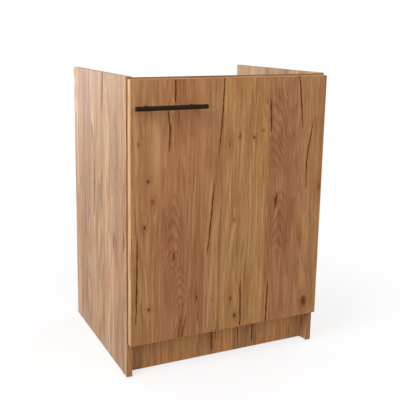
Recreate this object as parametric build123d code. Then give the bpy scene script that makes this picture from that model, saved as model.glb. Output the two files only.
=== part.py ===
from build123d import *
import math
import os

# Kitchen sink base cabinet in laminated board: open top and back, one door on concealed cup hinges and a
# black bar handle. Sizes are in millimetres. x runs across from the cabinet's middle, y into its depth from
# the front edges of the side panels, and z up from the floor. Each piece is moved at the end so that the
# origin lies on the floor under the middle of the whole outline.

# Carcass
cabinet_width = 600.0
cabinet_height = 818.0
carcass_depth = 470.0
board = 16.0
band = 0.8
glide_height = 3.0
glide_radius = 7.5
glide_nail_radius = 1.1
glide_nail_length = 14.0
glide_from_edge = 30.0
bottom_height = 100.0
plinth_setback = 30.0
rail_height = 90.0
front_rail_drop = 3.0
rear_rail_drop = 98.0
wall_hole_radius = 3.0
wall_hole_spacing = 400.0

# Cam connectors and dowels between the side panels and the boards that span them
cam_radius = 7.5
cam_height = 12.3
cam_from_end = 34.0
bolt_thread_radius = 2.5
bolt_thread_length = 10.5
bolt_shank_radius = 3.0
bolt_head_radius = 3.4
bolt_head_length = 4.0
bolt_channel_radius = 4.0
dowel_radius = 4.0
dowel_length = 30.0
dowel_in_panel = 10.0
bottom_cam_from_edge = 70.0
bottom_dowel_from_edge = 110.0
rail_cam_from_middle = 20.0

# Clearances
fit_clearance = 0.05
bottoming_clearance = 0.5
bore_clearance = 0.1
cam_clearance = 0.3
layer_gap = 0.4

# Door
door_thickness = 18.0
door_standoff = 2.0
door_side_gap = 3.0
door_top_gap = 6.0
door_band = 2.0
door_edge_round = 1.5
buffer_radius = 4.0
buffer_thickness = 1.7
buffer_from_edge = 24.0

# Handle
handle_length = 200.0
handle_radius = 6.0
handle_spacing = 128.0
handle_standoff = 26.0
handle_from_door_edge = 105.0
handle_from_door_top = 71.0
handle_end_round = 1.0
post_radius = 5.0
handle_screw_radius = 2.0
handle_screw_in_post = 10.0
handle_screw_head_radius = 4.0
handle_screw_head = 1.8
handle_screw_recess = 1.2

# Concealed hinge: its own frame starts at the panel's inner face (x) and at the door's back face (y)
hinge_from_door_end = 120.0
door_opening = 95.0
outer_link_turn = -29.7
inner_link_turn = -35.3
outer_arm_pivot_x = -14.8
outer_arm_pivot_y = 15.0
inner_arm_pivot_x = -20.5
inner_arm_pivot_y = -6.5
outer_cup_pivot_x = 4.0
outer_cup_pivot_y = -5.5
inner_cup_pivot_x = -1.6
inner_cup_pivot_y = -7.8
outer_rear_knee_x = -8.0
outer_rear_knee_y = -1.8
outer_middle_knee_x = -4.4
outer_middle_knee_y = -7.2
outer_front_knee_x = -0.8
outer_front_knee_y = -9.2
inner_knee_x = -13.5
inner_knee_y = -8.2
pin_radius = 1.2
lever_half_width = 1.7
outer_eye_radius = 2.6
inner_eye_radius = 2.2
outer_link_width = 8.4
inner_link_sheet = 1.6
arm_sheet = 1.2
arm_nose_radius = 2.4
arm_height = 19.4
arm_rear_height = 15.5
arm_foot = 3.0
arm_rear = 65.0
arm_web_front = 8.0
arm_step_start = 36.0
arm_step_end = 46.0
slot_clearance = 0.3

# Hinge cup
cup_radius = 17.5
cup_depth = 13.0
cup_wall = 0.8
cup_from_panel = 8.5
cup_flange = 1.2
cup_flange_width = 23.0
cup_flange_height = 62.0
cup_flange_round = 6.0
cup_flange_past_centre = 6.0
cup_pin_seat = 1.9
cup_screw_spacing = 45.0
cup_screw_offset = 9.5
cup_screw_radius = 1.75
cup_screw_length = 11.0
cup_screw_head_radius = 3.4
cup_screw_head = 1.8

# Hinge mounting plate and its screws
plate_setback = 39.0
plate_sheet = 2.4
plate_wing_height = 52.0
plate_wing_width = 16.0
plate_wing_round = 4.0
plate_foot_front = 20.0
plate_rail_front = 24.0
plate_rail_back = 63.0
plate_screw_spacing = 32.0
plate_screw_radius = 2.5
plate_screw_length = 11.0
plate_screw_head_radius = 4.0
plate_screw_head = 1.6
fixing_screw_y = 56.0
fixing_screw_radius = 2.5
fixing_screw_length = 8.0
fixing_screw_head_radius = 4.5
fixing_screw_head = 2.5
adjusting_screw_y = 30.0
adjusting_screw_radius = 2.5
adjusting_screw_proud = 0.6

# Places worked out from the sizes above
panel_outer = cabinet_width / 2
panel_inner = panel_outer - board
panel_bottom = glide_height
span = 2 * panel_inner
bottom_middle = bottom_height + board / 2
plinth_middle = (panel_bottom + bottom_height) / 2
plinth_y = plinth_setback + board / 2
front_rail_top = cabinet_height - front_rail_drop
front_rail_middle = front_rail_top - rail_height / 2
rear_rail_middle = cabinet_height - rear_rail_drop - rail_height / 2
rear_rail_y = carcass_depth - board / 2
door_edge = panel_outer - door_side_gap
door_back = -door_standoff
door_front = door_back - door_thickness
door_bottom = bottom_height
door_top = cabinet_height - door_top_gap
door_middle = (door_bottom + door_top) / 2
handle_x = handle_from_door_edge - door_edge
handle_z = door_top - handle_from_door_top
handle_y = door_front - handle_standoff
outline_front = handle_y - handle_radius
frame_shift = Pos(0, -(outline_front + carcass_depth) / 2, 0)
hinge_heights = {"top": door_top - hinge_from_door_end, "bottom": door_bottom + hinge_from_door_end}

# Pivots and knees of the hinge links
outer_arm_pivot = Vector(outer_arm_pivot_x, outer_arm_pivot_y)
inner_arm_pivot = Vector(inner_arm_pivot_x, inner_arm_pivot_y)
outer_cup_pivot = Vector(outer_cup_pivot_x, outer_cup_pivot_y)
inner_cup_pivot = Vector(inner_cup_pivot_x, inner_cup_pivot_y)
outer_link_knees = [Vector(outer_rear_knee_x, outer_rear_knee_y),
                    Vector(outer_middle_knee_x, outer_middle_knee_y),
                    Vector(outer_front_knee_x, outer_front_knee_y)]
inner_link_knees = [Vector(inner_knee_x, inner_knee_y)]

# Layers of the hinge, counted from its middle plane
cheek_inner = outer_link_width / 2 + layer_gap
cheek_outer = cheek_inner + inner_link_sheet
flange_inner = cheek_outer + layer_gap
flange_outer = flange_inner + arm_sheet
pocket_half = flange_outer + layer_gap
cup_pin_reach = pocket_half + cup_pin_seat


def box(x0, x1, y0, y1, z0, z1):
    """Box between two corners."""
    return Pos((x0 + x1) / 2, (y0 + y1) / 2, (z0 + z1) / 2) * Box(x1 - x0, y1 - y0, z1 - z0)


def rod(axis, radius, start, end, point):
    """Cylinder along a main axis from start to end; point holds the two other coordinates in order."""
    middle, length = (start + end) / 2, abs(end - start)
    if axis == "x":
        return Pos(middle, point[0], point[1]) * Rot(0, 90, 0) * Cylinder(radius, length)
    if axis == "y":
        return Pos(point[0], middle, point[1]) * Rot(90, 0, 0) * Cylinder(radius, length)
    return Pos(point[0], point[1], middle) * Cylinder(radius, length)


def slab(sketch, z0, z1):
    """Sketch in the x-y plane made solid between two heights."""
    return Pos(0, 0, z0) * extrude(sketch, z1 - z0)


def stadium(start, end, radius):
    """Straight bar with round ends between two points."""
    along = end - start
    middle = (start + end) / 2
    turn = math.degrees(math.atan2(along.Y, along.X))
    return Pos(middle.X, middle.Y) * Rot(0, 0, turn) * SlotCenterToCenter(along.length, 2 * radius)


def disc(centre, radius):
    """Round face about a point."""
    return Pos(centre.X, centre.Y) * Circle(radius)


def turned(vector, degrees):
    """Vector turned about the z axis."""
    return vector.rotate(Axis.Z, degrees)


# Connectors. A cam joint's face points from the board's middle to the side that shows the cam.
class CamJoint:
    """Cam, bolt and the holes for them at one end of a board that spans the side panels."""

    def __init__(self, side, y, z, face):
        self.side, self.y, self.z, self.face = side, y, z, face
        self.inner = side * panel_inner
        self.cam_x = side * (panel_inner - cam_from_end)

    def across(self, radius, near, far):
        """Cylinder along the face direction, between two distances from the board's middle."""
        step_y, step_z = self.face
        if step_y:
            return rod("y", radius, self.y + near * step_y, self.y + far * step_y, (self.cam_x, self.z))
        return rod("z", radius, self.z + near * step_z, self.z + far * step_z, (self.cam_x, self.y))

    def along(self, radius, start, end):
        """Cylinder along the bolt, between two distances into the cabinet from the panel's inner face."""
        first, last = self.inner - self.side * start, self.inner - self.side * end
        return rod("x", radius, first, last, (self.y, self.z))

    def bolt(self):
        """Bolt with its thread in the panel and its head in the cam."""
        shank_end = cam_from_end - bolt_head_length
        return (self.along(bolt_thread_radius, -bolt_thread_length, 0)
                + self.along(bolt_shank_radius, 0, shank_end)
                + self.along(bolt_head_radius, shank_end, cam_from_end))

    def cam(self):
        """Round cam with the mouth that takes the bolt's head."""
        mouth = self.along(bolt_head_radius + cam_clearance, cam_from_end - 2 * cam_radius,
                           cam_from_end + cam_clearance)
        return self.across(cam_radius, board / 2 - cam_height, board / 2) - mouth

    def board_cut(self):
        """Seat for the cam and channel for the bolt in the board."""
        seat = self.across(cam_radius + fit_clearance, board / 2 - cam_height - fit_clearance, board)
        return seat + self.along(bolt_channel_radius, -fit_clearance, cam_from_end)

    def panel_cut(self):
        """Hole for the bolt's thread in the side panel."""
        hole_end = -bolt_thread_length - bottoming_clearance
        return self.along(bolt_thread_radius + fit_clearance, hole_end, fit_clearance)


class DowelJoint:
    """Wooden dowel and the two holes for it."""

    def __init__(self, side, y, z):
        self.side, self.y, self.z = side, y, z
        self.inner = side * panel_inner

    def along(self, radius, start, end):
        """Cylinder along the dowel, between two distances into the cabinet from the panel's inner face."""
        first, last = self.inner - self.side * start, self.inner - self.side * end
        return rod("x", radius, first, last, (self.y, self.z))

    def dowel(self):
        """The dowel itself."""
        return self.along(dowel_radius, -dowel_in_panel, dowel_length - dowel_in_panel)

    def cut(self):
        """Hole for the dowel through the joint of panel and board."""
        hole_end = dowel_length - dowel_in_panel + bottoming_clearance
        return self.along(dowel_radius + fit_clearance, -dowel_in_panel - bottoming_clearance, hole_end)


face_down, face_back, face_front = (0, -1), (1, 0), (-1, 0)
rear_edge = carcass_depth
cam_places = {
    "bottom_panel": [(bottom_cam_from_edge, bottom_middle, face_down),
                     (rear_edge - bottom_cam_from_edge, bottom_middle, face_down)],
    "plinth_board": [(plinth_y, plinth_middle + rail_cam_from_middle, face_back)],
    "front_top_rail": [(board / 2, front_rail_middle + rail_cam_from_middle, face_back)],
    "rear_rail": [(rear_rail_y, rear_rail_middle + rail_cam_from_middle, face_front)],
}
dowel_places = {
    "bottom_panel": [(bottom_dowel_from_edge, bottom_middle),
                     (rear_edge - bottom_dowel_from_edge, bottom_middle)],
    "plinth_board": [(plinth_y, plinth_middle - rail_cam_from_middle)],
    "front_top_rail": [(board / 2, front_rail_middle - rail_cam_from_middle)],
    "rear_rail": [(rear_rail_y, rear_rail_middle - rail_cam_from_middle)],
}
cam_joints = {name: [CamJoint(side, *place) for place in places for side in (-1, 1)]
              for name, places in cam_places.items()}
dowel_joints = {name: [DowelJoint(side, *place) for place in places for side in (-1, 1)]
                for name, places in dowel_places.items()}


def spanning_board(name, solid):
    """Board between the side panels with the holes for its cams and dowels."""
    for joint in cam_joints[name]:
        solid -= joint.board_cut()
    for joint in dowel_joints[name]:
        solid -= joint.cut()
    return solid


def glide(x, y):
    """Nail-in glide under a side panel."""
    nail = rod("z", glide_nail_radius, glide_height, glide_height + glide_nail_length, (x, y))
    return rod("z", glide_radius, 0, glide_height, (x, y)) + nail


def side_panel(side):
    """Side panel with the holes for cam bolts, dowels, glide nails and, on the hinge side, plate screws."""
    low, high = sorted((side * panel_inner, side * panel_outer))
    solid = box(low, high, band, carcass_depth, panel_bottom, cabinet_height)
    for joints in cam_joints.values():
        for joint in joints:
            if joint.side == side:
                solid -= joint.panel_cut()
    for joints in dowel_joints.values():
        for joint in joints:
            if joint.side == side:
                solid -= joint.cut()
    for y in glide_rows:
        nail_top = glide_height + glide_nail_length + bottoming_clearance
        solid -= rod("z", glide_nail_radius + fit_clearance, 0, nail_top, (side * glide_x, y))
    if side > 0:
        for height in hinge_heights.values():
            hole_end = plate_screw_length + bottoming_clearance
            for z in plate_screw_rows:
                hole = rod("x", plate_screw_radius + fit_clearance, -fit_clearance, hole_end,
                           (plate_setback, z))
                solid -= hinge_place(height) * hole
    return solid


def hinge_place(height):
    """Place of a hinge's own frame."""
    return Pos(panel_inner, door_back, height)


glide_x = panel_outer - board / 2
glide_rows = [glide_from_edge, carcass_depth - glide_from_edge]
plate_screw_rows = [-plate_screw_spacing / 2, plate_screw_spacing / 2]

# Boards of the carcass
bottom_panel = box(-panel_inner, panel_inner, band, carcass_depth, bottom_height, bottom_height + board)
plinth_board = box(-panel_inner, panel_inner, plinth_setback, plinth_setback + board, panel_bottom,
                   bottom_height)
front_top_rail = box(-panel_inner, panel_inner, 0, board,
                     front_rail_top - rail_height, front_rail_top - band)
rear_rail = box(-panel_inner, panel_inner, carcass_depth - board, carcass_depth,
                rear_rail_middle - rail_height / 2, rear_rail_middle + rail_height / 2)
for hole_x in (-wall_hole_spacing / 2, wall_hole_spacing / 2):
    rear_rail -= rod("y", wall_hole_radius, carcass_depth - 2 * board, carcass_depth + board,
                     (hole_x, rear_rail_middle))

pieces = {
    "left_side_panel": side_panel(-1),
    "right_side_panel": side_panel(1),
    "bottom_panel": spanning_board("bottom_panel", bottom_panel),
    "plinth_board": spanning_board("plinth_board", plinth_board),
    "front_top_rail": spanning_board("front_top_rail", front_top_rail),
    "rear_rail": spanning_board("rear_rail", rear_rail),
    "left_front_band": box(-panel_outer, -panel_inner, 0, band, panel_bottom, cabinet_height),
    "right_front_band": box(panel_inner, panel_outer, 0, band, panel_bottom, cabinet_height),
    "bottom_front_band": box(-panel_inner, panel_inner, 0, band, bottom_height, bottom_height + board),
    "rail_top_band": box(-panel_inner, panel_inner, 0, board, front_rail_top - band, front_rail_top),
    "cam_locks": [joint.cam() for joints in cam_joints.values() for joint in joints],
    "cam_bolts": [joint.bolt() for joints in cam_joints.values() for joint in joints],
    "wood_dowels": [joint.dowel() for joints in dowel_joints.values() for joint in joints],
    "glides": [glide(side * glide_x, y) for side in (-1, 1) for y in glide_rows],
}


# Concealed hinge, in its own frame
def outer_link():
    """Cranked middle lever from the arm's rear pin to the cup pin nearest the door's edge."""
    path = [outer_arm_pivot, *outer_link_knees, outer_cup_pivot]
    shape = disc(outer_arm_pivot, outer_eye_radius) + disc(outer_cup_pivot, outer_eye_radius)
    for start, end in zip(path, path[1:]):
        shape += stadium(start, end, lever_half_width)
    for pivot in (outer_arm_pivot, outer_cup_pivot):
        shape -= disc(pivot, pin_radius + fit_clearance)
    return slab(shape, -outer_link_width / 2, outer_link_width / 2)


def inner_link_cheek(side):
    """One of the two side levers, with the stub pin that rides in the cup's slot."""
    path = [inner_arm_pivot, *inner_link_knees, inner_cup_pivot]
    shape = disc(inner_arm_pivot, inner_eye_radius) + disc(inner_cup_pivot, inner_eye_radius)
    for start, end in zip(path, path[1:]):
        shape += stadium(start, end, lever_half_width)
    shape -= disc(inner_arm_pivot, pin_radius + fit_clearance)
    low, high = sorted((side * cheek_inner, side * cheek_outer))
    stub_end = pocket_half + cup_pin_seat - layer_gap
    stub_low, stub_high = sorted((side * cheek_inner, side * stub_end))
    stub = rod("z", pin_radius, stub_low, stub_high, (inner_cup_pivot.X, inner_cup_pivot.Y))
    return slab(shape, low, high) + stub


def stub_path(steps=12):
    """Places of the inner link's stub pin in the cup while the door swings from shut to open."""
    points = []
    for step in range(steps + 1):
        share = step / steps
        cup_pin = outer_arm_pivot + turned(outer_cup_pivot - outer_arm_pivot, outer_link_turn * share)
        stub = inner_arm_pivot + turned(inner_cup_pivot - inner_arm_pivot, inner_link_turn * share)
        points.append(outer_cup_pivot + turned(stub - cup_pin, -door_opening * share))
    return points


def stub_slot():
    """Slot in the cup's walls that holds the stub pin in every position of the door."""
    points = stub_path()
    low_x, high_x = min(point.X for point in points), max(point.X for point in points)
    low_y, high_y = min(point.Y for point in points), max(point.Y for point in points)
    middle = (low_y + high_y) / 2
    radius = pin_radius + (high_y - low_y) / 2 + slot_clearance
    return stadium(Vector(low_x, middle), Vector(high_x, middle), radius)


def hinge_cup():
    """Cup with its pocket, screw flange, pin holes and stub slots."""
    centre = (-cup_from_panel, 0)
    flange_x = cup_flange_past_centre - cup_flange_width / 2 - cup_from_panel
    flange_face = RectangleRounded(cup_flange_width, cup_flange_height, cup_flange_round)
    flange = Pos(flange_x, cup_flange, 0) * Rot(90, 0, 0) * extrude(flange_face, cup_flange)
    cup = rod("y", cup_radius, -cup_depth, 0, centre) + flange
    pocket = rod("y", cup_radius - cup_wall, cup_wall - cup_depth, cup_flange + layer_gap, centre)
    pocket &= Box(4 * cup_radius, 4 * cup_depth, 2 * pocket_half)
    cup -= pocket
    cup -= rod("z", pin_radius + fit_clearance, -cup_pin_reach, cup_pin_reach,
               (outer_cup_pivot.X, outer_cup_pivot.Y))
    cup -= slab(stub_slot(), -cup_pin_reach, cup_pin_reach)
    for z in cup_screw_rows:
        cup -= rod("y", cup_screw_radius + fit_clearance, -cup_depth, 2 * cup_flange, (cup_screw_x, z))
    return cup


def hinge_arm():
    """Channel-shaped arm: two flanges that carry the link pins, and a web that steps down to the plate."""
    nose_left = inner_arm_pivot.X - arm_nose_radius
    nose_right = inner_arm_pivot.X + arm_nose_radius
    nose_neck = Vector(outer_arm_pivot.X, inner_arm_pivot.Y + 2 * arm_nose_radius)
    top = [(-arm_height, arm_web_front), (-arm_height, arm_step_start), (-arm_rear_height, arm_step_end),
           (-arm_rear_height, arm_rear)]
    foot = [(-arm_foot, arm_rear), (-arm_foot, door_standoff + arm_foot),
            (outer_link_knees[0].X, door_standoff + arm_nose_radius)]
    nose = [(nose_neck.X, nose_neck.Y), (nose_right, inner_arm_pivot.Y), (nose_left, inner_arm_pivot.Y)]
    outline = make_face(Polyline(*top, *foot, *nose, close=True)) + disc(inner_arm_pivot, arm_nose_radius)
    inside_top = [(x + arm_sheet, y) for x, y in top]
    inside_front = -arm_height + arm_sheet
    inside = make_face(Polyline(*inside_top, (0, arm_rear), (0, -cup_depth), (-2 * arm_height, -cup_depth),
                                (-2 * arm_height, arm_web_front), (inside_front, arm_web_front), close=True))
    arm = slab(outline, -flange_outer, flange_outer) - slab(inside, -flange_inner, flange_inner)
    for pivot in (outer_arm_pivot, inner_arm_pivot):
        arm -= rod("z", pin_radius + fit_clearance, -2 * flange_outer, 2 * flange_outer, (pivot.X, pivot.Y))
    arm -= rod("x", fixing_screw_radius + fit_clearance, -2 * arm_height, -arm_foot, (fixing_screw_y, 0))
    arm -= rod("x", adjusting_screw_radius + fit_clearance, -2 * arm_height, -arm_foot,
               (adjusting_screw_y, 0))
    return arm


plate_rail_top = arm_rear_height - arm_sheet
plate_rail_half = flange_inner - layer_gap


def hinge_plate():
    """Cross-shaped plate on the side panel with the rail that the arm is screwed to."""
    wings_face = RectangleRounded(plate_wing_width, plate_wing_height, plate_wing_round)
    wings_face = Pos(plate_setback, 0) * wings_face
    foot_middle = (plate_foot_front + arm_rear) / 2
    foot_face = Pos(foot_middle, 0) * Rectangle(arm_rear - plate_foot_front, 2 * flange_outer)
    plate = Plane.YZ * extrude(wings_face + foot_face, -plate_sheet)
    plate += box(-plate_rail_top, -plate_sheet, plate_rail_front, plate_rail_back,
                 -plate_rail_half, plate_rail_half)
    for z in plate_screw_rows:
        plate -= rod("x", plate_screw_radius + fit_clearance, -2 * plate_sheet, plate_sheet,
                     (plate_setback, z))
    thread_end = fixing_screw_length + bottoming_clearance
    plate -= rod("x", fixing_screw_radius + fit_clearance, -arm_rear_height, thread_end - arm_rear_height,
                 (fixing_screw_y, 0))
    return plate


def plate_screw(z):
    """Screw through the plate's wing into the side panel."""
    head_top = -plate_sheet - plate_screw_head
    head = rod("x", plate_screw_head_radius, head_top, -plate_sheet, (plate_setback, z))
    return head + rod("x", plate_screw_radius, -plate_sheet, plate_screw_length, (plate_setback, z))


def fixing_screw():
    """Screw that holds the arm on the plate's rail."""
    seat = -arm_rear_height
    head = rod("x", fixing_screw_head_radius, seat - fixing_screw_head, seat, (fixing_screw_y, 0))
    return head + rod("x", fixing_screw_radius, seat, seat + fixing_screw_length, (fixing_screw_y, 0))


def adjusting_screw():
    """Grub screw in the arm's web that bears on the plate's rail."""
    return rod("x", adjusting_screw_radius, -arm_height - adjusting_screw_proud, -plate_rail_top,
               (adjusting_screw_y, 0))


def cup_screw(z):
    """Wood screw through the cup's flange into the door."""
    head = rod("y", cup_screw_head_radius, cup_flange, cup_flange + cup_screw_head, (cup_screw_x, z))
    return head + rod("y", cup_screw_radius, cup_flange - cup_screw_length, cup_flange, (cup_screw_x, z))


cup_screw_x = -cup_from_panel - cup_screw_offset
cup_screw_rows = [-cup_screw_spacing / 2, cup_screw_spacing / 2]
arm_pin_places = [outer_arm_pivot, inner_arm_pivot]
hinge_screws = [("hinge_plate_screws", [plate_screw(z) for z in plate_screw_rows]),
                ("hinge_arm_screws", [fixing_screw(), adjusting_screw()]),
                ("hinge_arm_pins", [rod("z", pin_radius, -flange_outer, flange_outer, (pivot.X, pivot.Y))
                                    for pivot in arm_pin_places]),
                ("hinge_cup_pins", [rod("z", pin_radius, -cup_pin_reach, cup_pin_reach,
                                        (outer_cup_pivot.X, outer_cup_pivot.Y))]),
                ("hinge_cup_screws", [cup_screw(z) for z in cup_screw_rows])]
for name, solids in hinge_screws:
    pieces[name] = [hinge_place(height) * solid for height in hinge_heights.values() for solid in solids]
for end, height in hinge_heights.items():
    place = hinge_place(height)
    pieces[f"hinge_plate_{end}"] = place * hinge_plate()
    pieces[f"hinge_arm_{end}"] = place * hinge_arm()
    pieces[f"hinge_outer_link_{end}"] = place * outer_link()
    pieces[f"hinge_inner_link_{end}"] = [place * inner_link_cheek(side) for side in (-1, 1)]
    pieces[f"hinge_cup_{end}"] = place * hinge_cup()

# Door
handle_posts_x = {"left": handle_x - handle_spacing / 2, "right": handle_x + handle_spacing / 2}


def door_panel():
    """Door board with the cup bores, cup screw holes and handle holes."""
    panel = box(-door_edge + door_band, door_edge - door_band, door_front, door_back,
                door_bottom + door_band, door_top - door_band)
    for height in hinge_heights.values():
        cuts = [rod("y", cup_radius + bore_clearance, -cup_depth - bore_clearance, cup_flange,
                    (-cup_from_panel, 0))]
        hole_end = cup_flange - cup_screw_length - bottoming_clearance
        for z in cup_screw_rows:
            cuts.append(rod("y", cup_screw_radius + fit_clearance, hole_end, cup_flange, (cup_screw_x, z)))
        for cut in cuts:
            panel -= hinge_place(height) * cut
    for x in handle_posts_x.values():
        panel -= rod("y", handle_screw_radius + fit_clearance, door_front - door_band, door_back + door_band,
                     (x, handle_z))
        recess_end = door_back - handle_screw_recess
        panel -= rod("y", handle_screw_head_radius + bore_clearance, recess_end, door_back + door_band,
                     (x, handle_z))
    return panel


def upright_door_band(side):
    """Full-height edge band, rounded over along its outer edges and round its two ends."""
    low, high = sorted((side * door_edge, side * (door_edge - door_band)))
    strip = box(low, high, door_front, door_back, door_bottom, door_top)
    glue_face = strip.faces().sort_by(Axis.X)[-1 if side < 0 else 0]
    return fillet(strip.edges() - glue_face.edges(), door_edge_round)


def lying_door_band(z0, z1, outer):
    """Edge band between the two upright ones, rounded over along its two outer edges."""
    strip = box(-door_edge + door_band, door_edge - door_band, door_front, door_back, z0, z1)
    outer_face = strip.faces().sort_by(Axis.Z)[outer]
    return fillet(outer_face.edges().filter_by(Axis.X), door_edge_round)


def handle_bar():
    """Round bar with softened ends."""
    left, right = handle_x - handle_length / 2, handle_x + handle_length / 2
    bar = rod("x", handle_radius, left, right, (handle_y, handle_z))
    return fillet(bar.edges().filter_by(GeomType.CIRCLE), handle_end_round)


def handle_post(x):
    """Post from the door to the bar, with a saddle for the bar and a threaded hole for its screw."""
    post = rod("y", post_radius, handle_y, door_front, (x, handle_z))
    post -= rod("x", handle_radius, x - handle_radius, x + handle_radius, (handle_y, handle_z))
    thread_end = door_front - handle_screw_in_post - bottoming_clearance
    return post - rod("y", handle_screw_radius + fit_clearance, thread_end, door_front, (x, handle_z))


def handle_screw(x):
    """Machine screw from the door's back into a post."""
    seat = door_back - handle_screw_recess
    head = rod("y", handle_screw_head_radius, seat, seat + handle_screw_head, (x, handle_z))
    return head + rod("y", handle_screw_radius, door_front - handle_screw_in_post, seat, (x, handle_z))


def door_buffer(z):
    """Soft buffer on the door's back, opposite the front edge of the left side panel."""
    return rod("y", buffer_radius, door_back, door_back + buffer_thickness, (-panel_outer + board / 2, z))


pieces["door_panel"] = door_panel()
pieces["door_left_band"] = upright_door_band(-1)
pieces["door_right_band"] = upright_door_band(1)
pieces["door_top_band"] = lying_door_band(door_top - door_band, door_top, -1)
pieces["door_bottom_band"] = lying_door_band(door_bottom, door_bottom + door_band, 0)
pieces["handle_bar"] = handle_bar()
for end, post_x in handle_posts_x.items():
    pieces[f"handle_post_{end}"] = handle_post(post_x)
pieces["handle_screws"] = [handle_screw(x) for x in handle_posts_x.values()]
buffer_rows = [door_bottom + buffer_from_edge, door_top - buffer_from_edge]
pieces["door_buffers"] = [door_buffer(z) for z in buffer_rows]

os.makedirs("parts", exist_ok=True)
for name, piece in pieces.items():
    solids = piece if isinstance(piece, list) else [piece]
    placed = [solid for one in solids for solid in (frame_shift * one).solids()]
    export_step(placed[0] if len(placed) == 1 else Compound(children=placed), f"parts/{name}.step")
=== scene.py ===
"""Kitchen sink base cabinet: finishes, fastener heads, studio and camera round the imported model."""

import logging
import math
import random
from collections.abc import Mapping, Sequence
from dataclasses import dataclass
from enum import Enum
from typing import ClassVar, Union

import bmesh
import bpy
from mathutils import Matrix, Quaternion, Vector

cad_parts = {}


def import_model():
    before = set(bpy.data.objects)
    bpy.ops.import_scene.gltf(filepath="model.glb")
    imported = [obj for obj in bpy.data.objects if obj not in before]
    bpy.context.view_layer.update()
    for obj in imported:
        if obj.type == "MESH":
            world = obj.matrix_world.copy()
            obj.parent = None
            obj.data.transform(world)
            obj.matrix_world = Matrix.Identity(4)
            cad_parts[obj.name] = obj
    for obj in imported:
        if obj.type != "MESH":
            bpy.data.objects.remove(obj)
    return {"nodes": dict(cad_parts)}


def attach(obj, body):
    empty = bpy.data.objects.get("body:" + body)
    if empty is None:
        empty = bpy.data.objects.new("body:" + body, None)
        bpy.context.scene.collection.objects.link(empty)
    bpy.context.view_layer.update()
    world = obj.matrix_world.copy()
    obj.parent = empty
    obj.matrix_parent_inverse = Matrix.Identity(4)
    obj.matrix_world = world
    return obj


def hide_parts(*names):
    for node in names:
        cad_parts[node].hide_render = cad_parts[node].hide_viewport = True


LOG = logging.getLogger("kitchen_cabinet")

Colour = tuple[float, float, float, float]
Place = tuple[float, float]
Space = tuple[float, float, float]
Nodes = dict[str, bpy.types.Object]
Value = Union["Wire", float, tuple]
Wires = Mapping[str, "Wire"]
Inputs = Mapping[str | int, Value]

WHITE: Colour = (1.0, 1.0, 1.0, 1.0)
INWARD: Space = (-1.0, 0.0, 0.0)
BACKWARD: Space = (0.0, 1.0, 0.0)
SAME_POINT = 1e-6
EDGE_WIDTH = 0.0003
BEVEL_ANGLE = math.radians(40.0)
SHARP_ANGLE = math.radians(35.0)


def paint(red: int, green: int, blue: int) -> Colour:
    """Colour for a shader socket from the 0 to 255 values of a paint card.

    Args:
        red: level of red.
        green: level of green.
        blue: level of blue.

    Returns:
        The opaque colour in scene-linear light.
    """
    def linear(level: int) -> float:
        """One channel in scene-linear light."""
        share = level / 255.0
        return share / 12.92 if share <= 0.04045 else ((share + 0.055) / 1.055) ** 2.4

    return linear(red), linear(green), linear(blue), 1.0


class Socket(Enum):
    """Kinds of socket on the effect groups."""

    VALUE = "NodeSocketFloat"
    POINT = "NodeSocketVector"


class Board(Enum):
    """How a board stands: the axis across its grain, the axis along it and the axis through its faces."""

    UPRIGHT_FRONT = ("X", "Z", "Y")
    UPRIGHT_SIDE = ("Y", "Z", "X")
    LYING = ("Y", "X", "Z")
    LENGTHWISE = ("Z", "X", "Y")


class Tone(Enum):
    """Stain tones of the printed planks and edge bands; the darkest is painted shade and WHEAT is partly a
    painted highlight.
    """

    HONEY = (176, 130, 84)
    AMBER = (169, 122, 82)
    CHESTNUT = (167, 116, 80)
    RUSSET = (168, 118, 80)
    UMBER = (165, 118, 79)
    CEDAR = (192, 138, 91)
    OAT = (186, 143, 101)
    STRAW = (197, 153, 112)
    # Partly the band's own paler colour, partly a painted highlight: the door's side bands take this lightest
    # tone so the left edge looks lit.
    WHEAT = (214, 170, 130)
    # Painted shade: this dark brown on the lying edge bands stands in for the shade in the gaps behind the
    # door's top and bottom edges.
    SHADE_BROWN = (92, 58, 33)
    BEECH = (206, 170, 126)


@dataclass(frozen=True)
class Cloud:
    """One cloudy noise: features per metre each way, and the number and weight of its finer layers.

    Where levels are given, they are the values that become 0 and 1.
    """

    scale: Space
    detail: float = 3.0
    roughness: float = 0.55
    levels: Place | None = None


class Wire:
    """Output of a shader node, with the sums that it can take part in."""

    def __init__(self, shader: "Shader", socket: bpy.types.NodeSocket) -> None:
        """Keeps the output and the builder of its tree."""
        self.shader = shader
        self.socket = socket

    def __add__(self, other: Value) -> "Wire":
        """This value and another together."""
        return self.shader.math("ADD", self, other)

    def __sub__(self, other: Value) -> "Wire":
        """This value less another."""
        return self.shader.math("SUBTRACT", self, other)

    def __rsub__(self, other: Value) -> "Wire":
        """A constant less this value."""
        return self.shader.math("SUBTRACT", other, self)

    def __mul__(self, other: Value) -> "Wire":
        """This value times another."""
        return self.shader.math("MULTIPLY", self, other)

    def __truediv__(self, other: Value) -> "Wire":
        """This value divided by another."""
        return self.shader.math("DIVIDE", self, other)


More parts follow.
